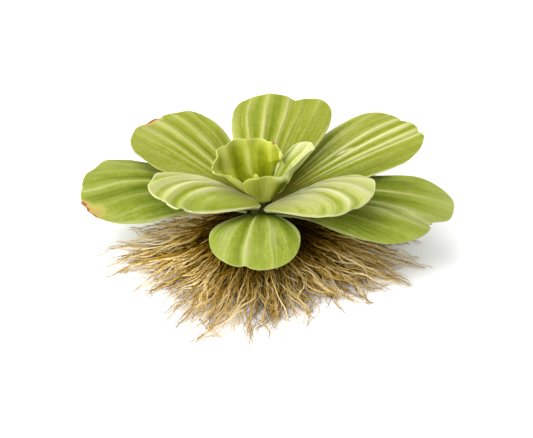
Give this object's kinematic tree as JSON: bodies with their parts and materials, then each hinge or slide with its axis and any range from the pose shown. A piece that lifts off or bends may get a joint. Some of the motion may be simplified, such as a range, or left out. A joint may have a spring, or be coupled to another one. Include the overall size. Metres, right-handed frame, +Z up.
{
  "type": "water lettuce",
  "caption": "Free-floating water plant: a rosette of ribbed velvety leaves on a short crown, set down on a spread skirt of fine roots.",
  "frame": {"origin": "on the surface that the roots rest on, straight under the axis of the crown", "axes": "+Z up along the crown; -Y towards the small low front leaf; +X towards the far right leaf, along the widest spread of the rosette"},
  "size_m": [0.2025, 0.1573, 0.0647],
  "materials": {
    "outer_leaf": "matte, velvety, light green with paler ribs",
    "front_leaf": "matte, velvety, pale green",
    "inner_leaf": "matte, velvety, bright yellow-green",
    "crown": "matte, fibrous",
    "roots": "matte, fibrous, golden brown"
  },
  "bodies": {
    "root": {"crown": "crown", "leaf_far_left": "outer_leaf", "leaf_back_left": "outer_leaf", "leaf_back": "outer_leaf", "leaf_back_right": "outer_leaf", "leaf_far_right": "outer_leaf", "leaf_front": "outer_leaf", "leaf_front_left": "front_leaf", "leaf_front_right": "front_leaf", "inner_leaf_back": "inner_leaf", "inner_leaf_front": "inner_leaf", "inner_leaf_right": "inner_leaf", "bud_leaf": "inner_leaf", "root_tuft_centre": "roots", "root_tuft_01": "roots", "root_tuft_02": "roots", "root_tuft_03": "roots", "root_tuft_04": "roots", "root_tuft_05": "roots", "root_tuft_06": "roots", "root_tuft_07": "roots", "root_tuft_08": "roots", "root_tuft_09": "roots", "root_tuft_10": "roots", "root_tuft_11": "roots", "root_tuft_12": "roots", "root_tuft_13": "roots", "root_tuft_14": "roots", "root_tuft_15": "roots", "root_tuft_16": "roots", "root_tuft_17": "roots", "root_tuft_18": "roots"}
  },
  "joints": []
}
